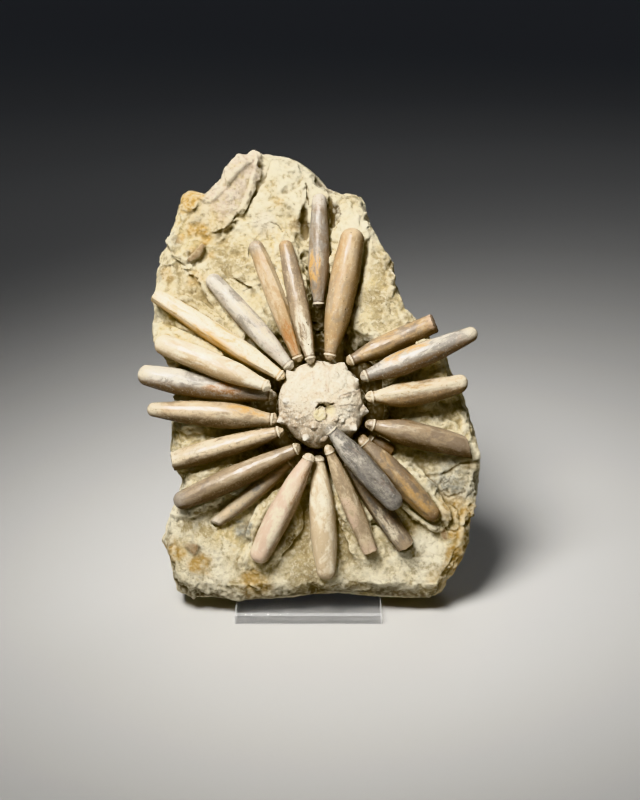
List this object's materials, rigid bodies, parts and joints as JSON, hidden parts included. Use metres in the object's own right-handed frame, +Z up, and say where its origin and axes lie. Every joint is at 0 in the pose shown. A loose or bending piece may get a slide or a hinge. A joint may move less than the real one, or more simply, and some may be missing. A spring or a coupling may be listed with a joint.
{
  "type": "fossil sea urchin",
  "caption": "Fossil sea urchin shell with club-shaped spines fanned out on a rough limestone slab, leaning back on a clear acrylic stand.",
  "frame": {"origin": "middle of the underside of the stand's base plate, on the surface it stands on", "axes": "+Z up, the fossil's face looks towards -Y and leans back, +X to the right of someone who looks at the face"},
  "size_m": [0.1182, 0.0801, 0.1534],
  "materials": {
    "limestone": "matt rough limestone",
    "fossil_shell": "matt fine-grained fossil shell",
    "fossil_spine": "satin fossil spine",
    "clear_acrylic": "clear polished acrylic"
  },
  "bodies": {
    "root": {"slab": "limestone", "shell": "fossil_shell", "spine_top_loose": "fossil_spine", "spine_top_stout": "fossil_spine", "spine_right_1": "fossil_spine", "spine_right_2": "fossil_spine", "spine_right_3": "fossil_spine", "spine_right_4": "fossil_spine", "spine_right_5": "fossil_spine", "spine_over_shell": "fossil_spine", "spine_under": "fossil_spine", "spine_low_1": "fossil_spine", "spine_low_2": "fossil_spine", "spine_low_3": "fossil_spine", "spine_low_4": "fossil_spine", "spine_left_1": "fossil_spine", "spine_left_2": "fossil_spine", "spine_left_3": "fossil_spine", "spine_left_4": "fossil_spine", "spine_left_5": "fossil_spine", "spine_left_6": "fossil_spine", "spine_left_7": "fossil_spine", "spine_top_1": "fossil_spine", "spine_top_2": "fossil_spine", "spine_stub": "fossil_spine", "stand_base": "clear_acrylic", "stand_backrest": "clear_acrylic"}
  },
  "joints": []
}
